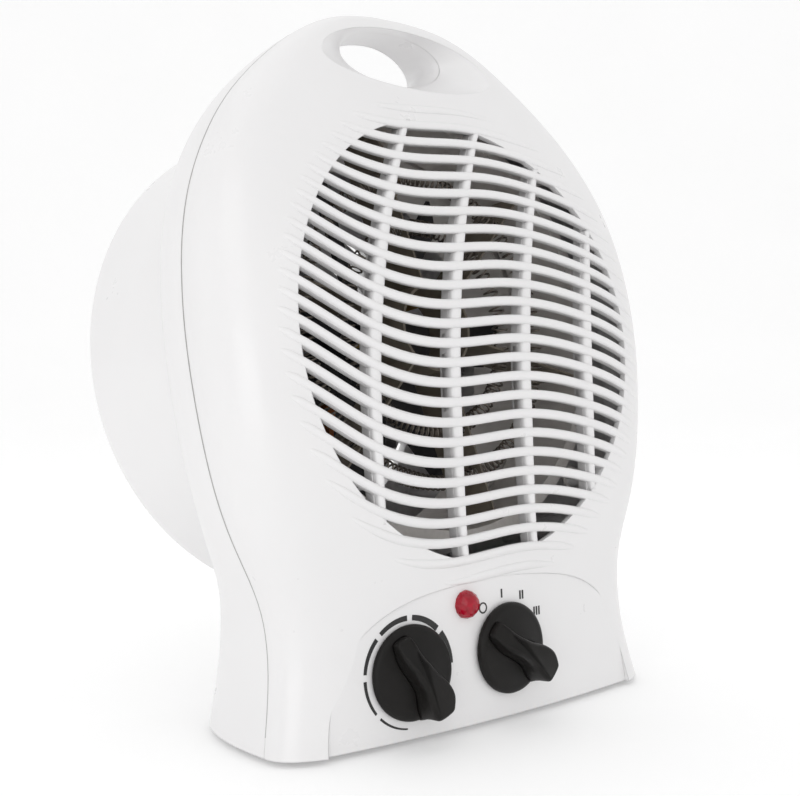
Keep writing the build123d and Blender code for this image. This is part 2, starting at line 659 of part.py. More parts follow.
def selector_symbols():
    """A ring for off, and one, two and three short bars for the settings."""
    marks = []
    x, z = polar(18.5, 127, SELECTOR_Z)
    marks.append(Pos(SELECTOR_X + x, -18, z) * rod(1.9, -6, 6, inner=1.4))
    for count, angle in ((1, 96), (2, 65), (3, 34)):
        x, z = polar(18.7, angle, SELECTOR_Z)
        for i in range(count):
            across = (i - (count - 1) / 2) * 1.3
            marks.append(Pos(SELECTOR_X + x + across, -18, z) * block(-0.35, 0.35, -6, 6, -1.5, 1.5))
    return printed(marks)


def lamp_lens():
    """A red dome with a stem through the panel."""
    dome = Sphere(LAMP_RADIUS) & block(-9, 9, -9, -LENS_SEAT, -9, 9)
    stem = rod(LAMP_RADIUS - 0.8, -LENS_SEAT - 1, 5)
    return LAMP * (dome + stem)


def lamp_holder():
    """The indicator's neon tube in a clip behind the lens."""
    return LAMP * (rod(LAMP_RADIUS + 1.4, 3.0, 14.0) - rod(LAMP_RADIUS - 0.8 + HOLE_PLAY, 2, 5))


# ---- wiring -------------------------------------------------------------------------------

def terminal_block():
    block_body = block(-15, 15, -7, 7, 0, 12)
    for x in (-10, 0, 10):
        block_body -= Pos(x, 0, 12) * Cylinder(2.4, 12)
    return Rot(LEAN, 0, 0) * Pos(25, 46, FLOOR_THICKNESS) * block_body


def cord_gland():
    """The moulded ring in the rear wall where the mains lead enters."""
    sleeve = rod(GLAND_RADIUS, -7, GLAND_FLANGE_END)
    flange = rod(GLAND_FLANGE_RADIUS, GLAND_FLANGE_START, GLAND_FLANGE_END)
    return Pos(GLAND_X, GLAND_Y, GLAND_Z) * (sleeve + flange - rod(CORD_PASSAGE, -8, 6))


# ---- build --------------------------------------------------------------------------------

def build():
    outer = casing_body() - under(0)
    inner = casing_body(WALL) - under(FLOOR_THICKNESS)
    save(front_casing(outer, inner), "front_casing")
    save(grille_ribs(), "grille_ribs")
    save(rear_casing(outer, inner), "rear_casing")
    save(rear_grille(), "rear_grille")
    save(foot_pads(), "foot_pads")
    save(casing_screws(), "casing_screws")
    save(heat_shield(), "heat_shield")
    save(shield_screws(), "shield_screws")
    save(mica_frame(), "mica_frame")
    save(coil(OUTER_COIL), "outer_coil")
    save(coil(INNER_COIL), "inner_coil")
    save(coil_terminals(), "coil_terminals")
    save(Pos(*CUTOUT_SPOT) * thermal_cutout(), "thermal_cutout")
    save(fan_duct(), "fan_duct")
    save(duct_screws(), "duct_screws")
    save(fan_impeller(), "fan_impeller")
    clip = rod(5, FAN_FRONT - 1.6, FAN_FRONT, inner=MOTOR_SHAFT + 0.02)
    save(Pos(0, 0, AXIS_Z) * clip, "impeller_clip")
    save(Pos(0, 0, AXIS_Z) * rod(MOTOR_SHAFT, FAN_FRONT - 3, MOUNT_BACK - 2.2), "motor_shaft")
    rotor = rod(ROTOR_RADIUS, STATOR_FRONT, STATOR_BACK, inner=MOTOR_SHAFT + 0.02)
    save(Pos(0, 0, AXIS_Z) * rotor, "rotor")
    save(stator(), "stator")
    save(motor_coil(), "motor_coil")
    save(motor_bracket(FRONT_BRACKET_Y, STATOR_FRONT), "motor_front_bracket")
    save(motor_bracket(STATOR_BACK, MOUNT_BACK - 1.2), "motor_rear_bracket")
    save(motor_screws(), "motor_screws")
    save(motor_mount(), "motor_mount")
    save(mount_screws(), "mount_screws")
    save(control_body(THERMOSTAT, 30, 22, 17), "thermostat_body")
    save(control_body(SELECTOR, 26, 22, 19), "selector_body")
    save(control_shaft(THERMOSTAT), "thermostat_shaft")
    save(control_shaft(SELECTOR), "selector_shaft")
    save(control_screws(), "control_screws")
    save(knob(THERMOSTAT, THERMOSTAT_POINTER), "thermostat_knob")
    save(knob(SELECTOR, SELECTOR_POINTER), "selector_knob")
    save(thermostat_scale(), "thermostat_scale")
    save(selector_symbols(), "selector_symbols")
    save(lamp_lens(), "lamp_lens")
    save(lamp_holder(), "lamp_holder")
    save(terminal_block(), "terminal_block")
    save(cord_gland(), "cord_gland")


build()
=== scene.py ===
import json
import math

import bpy
from mathutils import Matrix, Vector
from mathutils.bvhtree import BVHTree


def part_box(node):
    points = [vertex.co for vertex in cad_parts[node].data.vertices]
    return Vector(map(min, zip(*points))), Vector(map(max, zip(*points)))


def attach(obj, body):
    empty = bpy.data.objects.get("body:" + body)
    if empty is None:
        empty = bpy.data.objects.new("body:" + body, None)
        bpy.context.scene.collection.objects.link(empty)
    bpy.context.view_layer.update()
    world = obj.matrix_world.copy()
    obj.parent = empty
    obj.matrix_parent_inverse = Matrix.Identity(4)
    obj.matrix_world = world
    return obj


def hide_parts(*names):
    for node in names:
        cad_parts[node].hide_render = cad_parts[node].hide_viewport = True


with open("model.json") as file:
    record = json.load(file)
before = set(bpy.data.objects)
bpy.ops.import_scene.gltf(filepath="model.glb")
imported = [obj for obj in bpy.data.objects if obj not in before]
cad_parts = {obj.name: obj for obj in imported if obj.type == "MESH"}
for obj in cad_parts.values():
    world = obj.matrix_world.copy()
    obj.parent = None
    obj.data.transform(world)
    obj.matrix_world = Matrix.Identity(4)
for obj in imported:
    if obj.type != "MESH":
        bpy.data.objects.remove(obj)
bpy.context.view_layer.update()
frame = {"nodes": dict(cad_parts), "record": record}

# The casing is drawn upright and then leans back. Its upright frame is in millimetres: x to the
# right, y back from the seam between the two casings, z up.
MM = 0.001
LEAN = math.radians(9.0)
RISE = 0.002                                  # how far the pads lift the casing, in metres
FAN_HEIGHT = 134.0                            # the fan axis
FAN_JOINT_DEPTH = 30.0                        # where its joint sits on that axis
GRILLE_HEIGHT = 128.0                         # the middle of the round grille
PITCH = 6.55                                  # from one slat to the next


def joint_place(name):
    for joint in frame["record"]["behaviour"]["joints"]:
        if joint["name"] == name:
            return Vector(joint["pos_m"]), Vector(joint["axis"]).normalized()
    raise ValueError(name)


UP = Vector((0, math.sin(LEAN), math.cos(LEAN)))
BACK = Vector((0, math.cos(LEAN), -math.sin(LEAN)))
ORIGIN = joint_place("fan_spin")[0] - UP * (FAN_HEIGHT * MM) - BACK * (FAN_JOINT_DEPTH * MM)


def place(x, y, z):
    """Where a point of the upright frame is in the leaning heater, in metres."""
    return ORIGIN + Vector((x * MM, 0, 0)) + BACK * (y * MM) + UP * (z * MM)


def front_axes(axis):
    """Directions out of, across and up the control panel, for a shaft that points inwards."""
    out = -axis
    side = Vector((1, 0, 0))
    side = (side - out * side.dot(out)).normalized()
    up = out.cross(side).normalized()
    return out, side, up if up.z > 0 else -up


# ---- materials -------------------------------------------------------------------------------

class Tree:
    """A short way to write a material's nodes."""

    def __init__(self, name):
        self.material = bpy.data.materials.new(name)
        self.material.use_nodes = True
        self.nodes = self.material.node_tree.nodes
        self.links = self.material.node_tree.links
        self.shader = self.nodes["Principled BSDF"]

    def node(self, kind, **values):
        n = self.nodes.new(kind)
        for key, value in values.items():
            setattr(n, key, value)
        return n

    def feed(self, socket, value):
        if isinstance(value, bpy.types.NodeSocket):
            self.links.new(value, socket)
        else:
            socket.default_value = value

    def set(self, **values):
        """Shader inputs by name, with an underscore for each space."""
        for key, value in values.items():
            self.feed(self.shader.inputs[key.replace("_", " ")], value)

    def where(self):
        return self.node("ShaderNodeTexCoord").outputs["Object"]

    def times(self, a, b):
        n = self.node("ShaderNodeMath", operation="MULTIPLY")
        self.feed(n.inputs[0], a)
        self.feed(n.inputs[1], b)
        return n.outputs[0]

    def noise(self, coords, scale, detail=3.0, roughness=0.5, stretch=None):
        if stretch is not None:
            mapping = self.node("ShaderNodeMapping")
            self.links.new(coords, mapping.inputs["Vector"])
            mapping.inputs["Scale"].default_value = stretch
            coords = mapping.outputs["Vector"]
        n = self.node("ShaderNodeTexNoise")
        self.links.new(coords, n.inputs["Vector"])
        n.inputs["Scale"].default_value = scale
        n.inputs["Detail"].default_value = detail
        n.inputs["Roughness"].default_value = roughness
        return n.outputs["Fac"]

    def remap(self, value, low, high, to_low=0.0, to_high=1.0):
        n = self.node("ShaderNodeMapRange")
        self.feed(n.inputs["Value"], value)
        n.inputs["From Min"].default_value = low
        n.inputs["From Max"].default_value = high
        n.inputs["To Min"].default_value = to_low
        n.inputs["To Max"].default_value = to_high
        return n.outputs["Result"]

    def mix(self, factor, a, b):
        """A blend of two colours given as red, green and blue."""
        n = self.node("ShaderNodeMix", data_type="RGBA")
        self.feed(n.inputs["Factor"], factor)
        self.feed(n.inputs["A"], (*a, 1.0))
        self.feed(n.inputs["B"], (*b, 1.0))
        return n.outputs["Result"]

    def bump(self, height, distance, normal=None):
        n = self.node("ShaderNodeBump")
        self.feed(n.inputs["Height"], height)
        n.inputs["Distance"].default_value = distance
        n.inputs["Strength"].default_value = 1.0
        if normal is not None:
            self.links.new(normal, n.inputs["Normal"])
        return n.outputs["Normal"]

    def rounded(self, radius):
        n = self.node("ShaderNodeBevel")
        n.samples = 4
        n.inputs["Radius"].default_value = radius
        return n.outputs["Normal"]


def plastic(name, light, dark, rough, grain, grain_scale, coat=0.0, bevel=0.0004, shine=0.5):
    """Moulded plastic: faint mottling, uneven gloss and a fine moulded grain."""
    t = Tree(name)
    where = t.where()
    mottle = t.noise(where, 22.0, 4.0)
    t.set(Base_Color=t.mix(t.remap(mottle, 0.3, 0.7), light, dark))
    gloss = t.noise(where, 60.0, 5.0, 0.6)
    t.set(Roughness=t.remap(gloss, 0.3, 0.7, *rough))
    fine = t.noise(where, grain_scale, 2.0)
    t.set(Normal=t.bump(fine, grain, t.rounded(bevel) if bevel else None))
    t.set(Coat_Weight=coat, Coat_Roughness=0.15, Specular_IOR_Level=shine)
    return t.material


def metal(name, light, dark, rough, scale, stretch=(1, 1, 1), grain=0.00002, metallic=1.0):
    """Sheet, turned or cast metal with drawn or cloudy marks."""
    t = Tree(name)
    where = t.where()
    marks = t.noise(where, scale, 4.0, 0.6, stretch)
    clouds = t.noise(where, 35.0, 4.0)
    blend = t.times(t.remap(marks, 0.3, 0.7), t.remap(clouds, 0.25, 0.75, 0.4, 1.0))
    t.set(Base_Color=t.mix(blend, light, dark))
    t.set(Roughness=t.remap(clouds, 0.3, 0.7, *rough))
    t.set(Normal=t.bump(marks, grain, t.rounded(0.0002)))
    t.set(Metallic=metallic)
    return t.material


def lens_red():
    t = Tree("pilot_lens_red")
    cloud = t.noise(t.where(), 400.0, 3.0)
    t.set(Base_Color=t.mix(t.remap(cloud, 0.3, 0.7), (0.42, 0.003, 0.022), (0.25, 0.0015, 0.011)))
    t.set(Roughness=t.remap(cloud, 0.3, 0.7, 0.08, 0.16))
    t.set(Coat_Weight=0.15, Coat_Roughness=0.05, Specular_IOR_Level=0.35)
    t.set(Subsurface_Weight=0.05, Subsurface_Radius=(0.004, 0.0006, 0.0006), Subsurface_Scale=1.0)
    return t.material


# For each: name, light and dark colour, roughness, then what the function above takes.
MATERIALS = {
    "white": plastic("shell_plastic", (0.80, 0.793, 0.795), (0.785, 0.778, 0.78), (0.27, 0.33),
                     0.00001, 1500, coat=0.15, bevel=0.0006),
    "black": plastic("knob_plastic", (0.012, 0.0108, 0.010), (0.008, 0.0074, 0.007), (0.38, 0.48),
                     0.00003, 1800, bevel=0.0007, shine=0.18),
    "matt_black": plastic("duct_plastic", (0.020, 0.020, 0.021), (0.010, 0.010, 0.011), (0.5, 0.7),
                          0.00008, 900),
    "fan": plastic("fan_plastic", (0.045, 0.045, 0.048), (0.025, 0.025, 0.028), (0.35, 0.5),
                   0.00004, 900, bevel=0.0006),
    "phenolic": plastic("control_moulding", (0.30, 0.19, 0.10), (0.20, 0.12, 0.06), (0.45, 0.6),
                        0.00006, 700),
    # Mica's beige tone darkened well below real mica: painted shade for the dark inside of the
    # heater.
    "mica": plastic("mica_with_painted_shade", (0.27, 0.235, 0.19), (0.16, 0.135, 0.10), (0.3, 0.6),
                    0.00008, 260, bevel=0.0001),
    "pad": plastic("pad_rubber", (0.80, 0.80, 0.79), (0.72, 0.72, 0.71), (0.6, 0.75),
                   0.00006, 900),
    "grey": plastic("gland_rubber", (0.62, 0.62, 0.61), (0.54, 0.54, 0.53), (0.5, 0.65),
                    0.00006, 900),
    # Mid-grey painted shadow for the line along the seam between the two casings.
    "seam": plastic("seam_painted_shadow", (0.42, 0.41, 0.405), (0.36, 0.355, 0.35), (0.6, 0.7),
                    0.00001, 900, bevel=0.0),
    "ink": plastic("panel_ink", (0.022, 0.021, 0.021), (0.016, 0.016, 0.016), (0.5, 0.62),
                   0.00001, 2500, bevel=0.00005),
    "red": lens_red(),
    # Sheet metal's grey lightened beyond its own tone: painted light on the shield and duct inside
    # the grille.
    "shield": metal("shield_sheet_painted_light", (0.80, 0.765, 0.735), (0.70, 0.67, 0.64), (0.45, 0.6),
                    500, (1, 0.08, 1), 0.00003, metallic=0.2),
    "bright": metal("plated_steel", (0.66, 0.66, 0.67), (0.5, 0.5, 0.51), (0.22, 0.38),
                    600, (1, 0.2, 1)),
    "wire": metal("element_wire", (0.38, 0.34, 0.30), (0.20, 0.17, 0.15), (0.35, 0.55), 900),
    "laminated": metal("stacked_laminations", (0.34, 0.34, 0.35), (0.18, 0.18, 0.19), (0.4, 0.6),
                       1400, (0.02, 1, 0.02), 0.0002),
    "copper": metal("enamelled_winding", (0.66, 0.26, 0.11), (0.42, 0.14, 0.05), (0.25, 0.4),
                    1500, (0.02, 1, 0.02), 0.0002),
    "cast": metal("cast_alloy", (0.62, 0.62, 0.63), (0.50, 0.50, 0.51), (0.4, 0.55),
                  700, grain=0.00008),
    "brass": metal("brass_tab", (0.66, 0.47, 0.18), (0.52, 0.36, 0.12), (0.25, 0.4), 600),
}

# Every node that isn't named here is plated steel.
LOOK = {
    "front_casing": "white", "grille_ribs": "white", "rear_casing": "white",
    "rear_grille": "white", "terminal_block": "white",
    "foot_pads": "pad", "cord_gland": "grey",
    "thermostat_knob": "black", "selector_knob": "black",
    "thermostat_scale": "ink", "selector_symbols": "ink",
    "lamp_holder": "matt_black", "lamp_lens": "red",
    "heat_shield": "shield", "fan_duct": "shield", "fan_impeller": "fan", "mica_frame": "mica",
    "thermal_cutout": "phenolic", "thermostat_body": "phenolic", "selector_body": "phenolic",
    "stator": "laminated", "rotor": "laminated", "motor_coil": "copper",
    "coil_terminals": "brass", "outer_coil": "wire", "inner_coil": "wire",
    "motor_front_bracket": "cast", "motor_rear_bracket": "cast",
}
for node, obj in frame["nodes"].items():
    finish = MATERIALS[LOOK.get(node, "bright")]
    if not obj.material_slots:
        obj.data.materials.append(finish)
    for spot in obj.material_slots:
        spot.material = finish


# ---- mesh helpers ----------------------------------------------------------------------------

def add_mesh(name, points, faces, finish, body, smooth=True):
    mesh = bpy.data.meshes.new(name)
    mesh.from_pydata([tuple(p) for p in points], [], faces)
    mesh.validate()
    mesh.update()
    if smooth:
        mesh.polygons.foreach_set("use_smooth", [True] * len(mesh.polygons))
    obj = bpy.data.objects.new(name, mesh)
    bpy.context.scene.collection.objects.link(obj)
    mesh.materials.append(MATERIALS[finish])
    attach(obj, body)
    return obj


def ring_faces(start, rows, count):
    """Quads between rings of points that follow one another from start."""
    faces = []
    for i in range(rows - 1):
        a, b = start + i * count, start + (i + 1) * count
        for k in range(count):
            m = (k + 1) % count
            faces.append((a + k, a + m, b + m, b + k))
    return faces


def end_faces(start, rows, count, last_first=True):
    """The flat faces that close the first and the last ring."""
    last = start + (rows - 1) * count
    ends = [tuple(last + k for k in range(count)), tuple(start + k for k in reversed(range(count)))]
    return ends if last_first else ends[::-1]


def closed_tube(points, radius, sides):
    """Rings of a round wire along a closed path, carried along without twist."""
    count = len(points)
    rings = []
    normal = None
    for i, p in enumerate(points):
        along = (points[(i + 1) % count] - points[i - 1]).normalized()
        if normal is None:
            normal = along.orthogonal().normalized()
        normal = (normal - along * normal.dot(along)).normalized()
        side = along.cross(normal)
        for k in range(sides):
            angle = 2 * math.pi * k / sides
            rings.append(p + (normal * math.cos(angle) + side * math.sin(angle)) * radius)
    faces = []
    for i in range(count):
        j = (i + 1) % count
        for k in range(sides):
            m = (k + 1) % sides
            faces.append((i * sides + k, i * sides + m, j * sides + m, j * sides + k))
    return rings, faces


def smooth_loop(points, per_span=5):
    """A closed Catmull-Rom curve through points in a plane."""
    count = len(points)
    loop = []
    for i in range(count):
        p0, p1, p2, p3 = (Vector(points[(i + k) % count]) for k in (-1, 0, 1, 2))
        for j in range(per_span):
            t = j / per_span
            loop.append(0.5 * ((2 * p1) + (p2 - p0) * t + (2 * p0 - 5 * p1 + 4 * p2 - p3) * t * t
                               + (3 * p1 - p0 - 3 * p2 + p3) * t ** 3))
    return loop


def natural_spline(knots):
    """A smooth curve through knots; gives a function of x."""
    xs = [k[0] for k in knots]
    ys = [k[1] for k in knots]
    n = len(xs)
    gaps = [xs[i + 1] - xs[i] for i in range(n - 1)]
    lower, diagonal, upper, right = [0.0] * n, [1.0] * n, [0.0] * n, [0.0] * n
    for i in range(1, n - 1):
        lower[i] = gaps[i - 1]
        diagonal[i] = 2 * (gaps[i - 1] + gaps[i])
        upper[i] = gaps[i]
        right[i] = 6 * ((ys[i + 1] - ys[i]) / gaps[i] - (ys[i] - ys[i - 1]) / gaps[i - 1])
    for i in range(1, n):
        w = lower[i] / diagonal[i - 1]
        diagonal[i] -= w * upper[i - 1]
        right[i] -= w * right[i - 1]
    bend = [0.0] * n
    for i in reversed(range(n - 1)):
        bend[i] = (right[i] - upper[i] * bend[i + 1]) / diagonal[i]

    def value(x):
        i = max(0, min(n - 2, sum(1 for k in xs[1:-1] if x >= k)))
        h = gaps[i]
        a, b = (xs[i + 1] - x) / h, (x - xs[i]) / h
        cubic = (a ** 3 - a) * bend[i] + (b ** 3 - b) * bend[i + 1]
        return a * ys[i] + b * ys[i + 1] + cubic * h * h / 6

    return value


def smoothed(values, reach):
    """Running means, over fewer neighbours near the ends."""
    result = []
    for i in range(len(values)):
        k = min(reach, i, len(values) - 1 - i)
        result.append(sum(values[i - k:i + k + 1]) / (2 * k + 1))
    return result


def surface(node):
    """A node's mesh, ready to be hit by rays."""
    mesh = frame["nodes"][node].data
    return BVHTree.FromPolygons([v.co for v in mesh.vertices],
                                [tuple(p.vertices) for p in mesh.polygons])


# ---- heating elements ------------------------------------------------------------------------

WIRE_RADIUS = 0.00038                         # in metres
WIRE_SIDES = 6
COIL_RADIUS = 2.6
COIL_DEPTH = -3.0
POINTS_PER_TURN = 11


def element_coil(name, node, radius, turns):
    """A ring of coiled heating wire, a little uneven as real coils are."""
    points = []
    count = turns * POINTS_PER_TURN
    for i in range(count):
        angle = 2 * math.pi * i / POINTS_PER_TURN
        around = 2 * math.pi * i / count + 0.004 * math.sin(i * 0.013)
        uneven = 1 + 0.05 * math.sin(around * 9) + 0.03 * math.sin(around * 23 + 1)
        reach = COIL_RADIUS * uneven
        out = radius + reach * math.cos(angle)
        points.append(place(out * math.cos(around), COIL_DEPTH + reach * math.sin(angle),
                            FAN_HEIGHT + out * math.sin(around)))
    rings, faces = closed_tube(points, WIRE_RADIUS, WIRE_SIDES)
    coil = add_mesh(name, rings, faces, "wire", "casing")
    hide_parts(node)


element_coil("outer_element", "outer_coil", 55.0, 150)
element_coil("inner_element", "inner_coil", 37.0, 100)


# ---- knobs -----------------------------------------------------------------------------------

# The grip from its fat end to its pointer: place along it, sideways swing, half width.
GRIP_LINE = [(-14.8, -0.5, 2.6), (-13.2, -0.8, 4.2), (-9.6, -1.5, 5.0), (-5.0, -1.4, 4.3),
             (0.0, 0.2, 3.5), (5.5, 1.6, 3.2), (10.5, 1.4, 3.1), (12.8, 1.1, 2.3)]
GRIP_MIDDLE = Vector((-1.5, 0.2))
# Height above the knob's skirt face and how far the grip's side stands out there.
GRIP_LEVELS = [(1.3, 1.3), (2.6, 0.95), (4.2, 0.45), (6.4, 0.1), (8.6, 0.0), (10.2, -0.1),
               (11.0, -0.35), (11.5, -0.8), (11.7, -1.3)]
GRIP_FOOT = GRIP_LEVELS[0][0]
POINTER_FROM = 9.0                            # past here the sides stand out less
POINTER_SPREAD = 0.55
FAT_END_FROM = -9.0                           # before here the grip leans out
FAT_END_LEAN = 0.03
RAMP_START = 4.0                              # from here the grip slopes down to its pointer
RAMP_END = 13.0
RAMP_DROP = 0.55
THERMOSTAT_POINTER = math.radians(112)
SELECTOR_POINTER = math.radians(137)
# Radius and height of the dished skirt.
SKIRT_PROFILE = [(15.3, 0.62), (15.5, 0.9), (15.5, 1.7), (15.2, 2.4), (14.6, 2.9), (13.9, 3.2),
                 (13.2, 3.25), (12.2, 3.35), (8.0, 4.1), (4.0, 4.5), (0.6, 4.6)]
SKIRT_STEPS = 96


def make_knob(name, node, body, joint, pointer):
    """A dished skirt with an S-shaped grip that leans out over its edge."""
    spot, axis = joint_place(joint)
    out, side, up = front_axes(axis)

    def at(x, z, height):
        return spot + (side * x + up * z + out * height) * MM

    points = []
    for radius, height in SKIRT_PROFILE:
        for k in range(SKIRT_STEPS):
            angle = 2 * math.pi * k / SKIRT_STEPS
            points.append(at(radius * math.cos(angle), radius * math.sin(angle), height))
    faces = ring_faces(0, len(SKIRT_PROFILE), SKIRT_STEPS)
    faces += end_faces(0, len(SKIRT_PROFILE), SKIRT_STEPS)

    line = [(a, c + h) for a, c, h in GRIP_LINE] + [(a, c - h) for a, c, h in reversed(GRIP_LINE)]
    loop = smooth_loop(line)
    count = len(loop)
    start = len(points)
    for height, spread in GRIP_LEVELS:
        for k in range(count):
            before, here, after = loop[k - 1], loop[k], loop[(k + 1) % count]
            along = (after - before).normalized()
            outward = Vector((along.y, -along.x))
            if outward.dot(here - GRIP_MIDDLE) < 0:
                outward = -outward
            lean = FAT_END_LEAN * (height - GRIP_FOOT) if here.x < FAT_END_FROM else 0.0
            share = POINTER_SPREAD if here.x > POINTER_FROM else 1.0
            p = here + outward * spread * share - Vector((lean, 0))
            x = p.x * math.cos(pointer) - p.y * math.sin(pointer)
            z = p.x * math.sin(pointer) + p.y * math.cos(pointer)
            ramp = max(0.0, min(1.0, (here.x - RAMP_START) / (RAMP_END - RAMP_START)))
            points.append(at(x, z, GRIP_FOOT + (height - GRIP_FOOT) * (1 - RAMP_DROP * ramp)))
    faces += ring_faces(start, len(GRIP_LEVELS), count)
    faces += end_faces(start, len(GRIP_LEVELS), count)
    piece = add_mesh(name, points, faces, "black", body)
    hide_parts(node)


make_knob("thermostat_knob_moulding", "thermostat_knob", "thermostat_dial", "thermostat_turn",
          THERMOSTAT_POINTER)
make_knob("selector_knob_moulding", "selector_knob", "selector_dial", "selector_turn",
          SELECTOR_POINTER)


# ---- pilot lens ------------------------------------------------------------------------------

# Radius, height above the panel and twist, as a share of one facet.
LENS_RINGS = [(4.8, -0.6, 0), (4.8, 0.6, 0), (4.25, 2.1, 0.5), (3.0, 3.6, 0), (1.3, 4.5, 0.5)]
LENS_FACETS = 12


def faceted_lens():
    """A dome cut into flat facets, as a pilot light's lens is."""
    spot, axis = joint_place("selector_turn")
    low, high = (Vector(v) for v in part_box("lamp_lens"))
    out, side, up = front_axes(axis)
    middle = (low + high) / 2
    base = middle - out * (middle - spot).dot(out)
    points, faces = [], []
    for radius, height, twist in LENS_RINGS:
        for k in range(LENS_FACETS):
            angle = 2 * math.pi * (k + twist) / LENS_FACETS
            across = side * math.cos(angle) * radius + up * math.sin(angle) * radius
            points.append(base + (across + out * height) * MM)
    for i in range(len(LENS_RINGS) - 1):
        a, b = i * LENS_FACETS, (i + 1) * LENS_FACETS
        for k in range(LENS_FACETS):
            m = (k + 1) % LENS_FACETS
            if LENS_RINGS[i + 1][2] > LENS_RINGS[i][2]:
                faces += [(a + k, a + m, b + k), (a + m, b + m, b + k)]
            else:
                faces += [(a + k, b + m, b + k), (a + k, a + m, b + m)]
    faces.append(tuple((len(LENS_RINGS) - 1) * LENS_FACETS + k for k in range(LENS_FACETS)))
    piece = add_mesh("pilot_lens", points, faces, "red", "casing", smooth=False)
    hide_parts("lamp_lens")


faceted_lens()


# ---- grille ----------------------------------------------------------------------------------

# How each slat rises and falls from left to right: place across and rise.
SLAT_WAVE = natural_spline([(-102, 34), (-76, 20), (-53, 6.4), (-21, -0.8), (13, 1.0), (47, -2.8),
                            (80, -11.8), (102, -21)])
OPENING = 77.0                                # radius of the round opening
RIDGE_END = 89.5                              # how far from its middle the ridges reach
RIDGE_LEAN = 3.5                              # added at its right edge, taken off at its left
RIDGE_TRIM = 0.3
SLATS = range(-13, 13)
SLAT_HALF = 1.62                              # half a slat's height
CROWN = 0.95                                  # how far its rounded front stands out
CROWN_SHAPE = [(-1.0, -0.30), (-0.92, 0.18), (-0.66, 0.66), (-0.33, 0.92), (0.0, 1.0),
               (0.33, 0.92), (0.66, 0.66), (0.92, 0.18), (1.0, -0.30)]
CROWN_STEP = 1.3
CROWN_REACH = 78                              # steps to each side
CROWN_FEWEST = 6                              # a shorter row of steps is left out
NARROWEST = 0.35                              # share of the height left where a ridge ends
SINK = 0.25                                   # how far a ridge's end dips under the casing
SEAM_CLEARANCE = 3.0                          # no ridge nearer to the seam than this
STEEPEST = 12.0                               # a greater rise is the casing's edge, not its slope
RAY_START = -90.0
RAY_LENGTH = 0.088                            # in metres

CASING = surface("front_casing")


def front_depth(x, z):
    """How far ahead of the seam the casing's front lies, or None past its edge."""
    hit = CASING.ray_cast(place(x, RAY_START, z), BACK, RAY_LENGTH)[0]
    if hit is None:
        return None
    return -(hit - ORIGIN).dot(BACK) / MM


def ridge_end(x):
    """How far from the middle of the grille the ridges reach at x."""
    return RIDGE_END + RIDGE_LEAN * x / OPENING


def fade_out(x, r):
    """1 inside the round opening, falling to 0 where the ridges have died away."""
    t = max(0.0, min(1.0, (ridge_end(x) - r) / (ridge_end(x) - OPENING)))
    return t * t * (3 - 2 * t)


def crown_row(level):
    """Place, depth, slope and fade at each step along one slat."""
    row = []
    for i in range(-CROWN_REACH, CROWN_REACH + 1):
        x = i * CROWN_STEP
        z = level + SLAT_WAVE(x)
        r = math.hypot(x, z - GRILLE_HEIGHT)
        if r > ridge_end(x) - RIDGE_TRIM:
            if row:
                break
            continue
        depth = front_depth(x, z)
        above = front_depth(x, z + PITCH)
        below = front_depth(x, z - PITCH)
        if depth is None or depth < SEAM_CLEARANCE:
            continue
        slope = 0.0
        if above is not None and below is not None and abs(above - below) <= STEEPEST:
            slope = (above - below) / (2 * PITCH)
        row.append((x, z, depth, slope, fade_out(x, r)))
    return row


def slat_crowns():
    """Rounded fronts on the slats, which run out over the casing as ridges and die away."""
    points, faces = [], []
    wide = len(CROWN_SHAPE)
    for k in SLATS:
        row = crown_row(GRILLE_HEIGHT + (k + 0.5) * PITCH)
        if len(row) < CROWN_FEWEST:
            continue
        depths = smoothed([p[2] for p in row], 1)
        slopes = smoothed([p[3] for p in row], 3)
        start = len(points)
        for i, (x, z, _, _, fade) in enumerate(row):
            first, last = max(0, i - 1), min(len(row) - 1, i + 1)
            across = (depths[last] - depths[first]) / (row[last][0] - row[first][0])
            scale = 1 / math.sqrt(1 + slopes[i] ** 2 + across ** 2)
            half = SLAT_HALF * (NARROWEST + (1 - NARROWEST) * min(1, fade * 1.6))
            for t, h in CROWN_SHAPE:
                dz = t * half
                lift = (CROWN * fade * h if h > 0 else h) - SINK * (1 - fade) ** 6
                depth = depths[i] + slopes[i] * dz + lift * scale
                points.append(place(x - across * lift * scale, -depth, z + dz))
        for i in range(len(row) - 1):
            for j in range(wide - 1):
                a = start + i * wide + j
                faces.append((a, a + 1, a + wide + 1, a + wide))
    add_mesh("slat_crowns", points, faces, "white", "casing")


slat_crowns()

RIB_COUNT = 4
RIB_SPACING = 34.0
RIB_MIDDLE = 4.8                              # widths at a rib's middle and at its ends
RIB_END = 2.7
RIB_FOOT = 48.0
RIB_HEIGHT = 162.0
RIB_STEPS = 120
RIB_OVERLAP = 1.5                             # how far a rib runs on past the opening
# Places across as shares of the half width, and how far ahead of the slats' flat fronts.
RIB_SHAPE = [(-1.0, -5.0), (-1.0, -0.9), (-0.8, -0.45), (-0.4, -0.22), (0.0, -0.15), (0.4, -0.22),
             (0.8, -0.45), (1.0, -0.9), (1.0, -5.0)]
BOW_LEVEL = 105.0                             # where the ribs stand upright
BOW_ABOVE = (33.0, 93.0)                      # they bow this far right over this height
BOW_BELOW = (4.0, 50.0)


def rib_bow(z):
    """How far a rib stands to the right of where it stands upright."""
    reach, height = BOW_ABOVE if z > BOW_LEVEL else BOW_BELOW
    return reach * ((z - BOW_LEVEL) / height) ** 2


def slat_depth(x, z):
    """The casing's front between two slats, from the fronts of the slats above and below."""
    level = (z - GRILLE_HEIGHT - SLAT_WAVE(x)) / PITCH - 0.5
    k = math.floor(level)
    near = [front_depth(x, GRILLE_HEIGHT + SLAT_WAVE(x) + (k + i + 0.5) * PITCH) for i in (0, 1)]
    if None in near:
        return None
    return near[0] + (near[1] - near[0]) * (level - k)


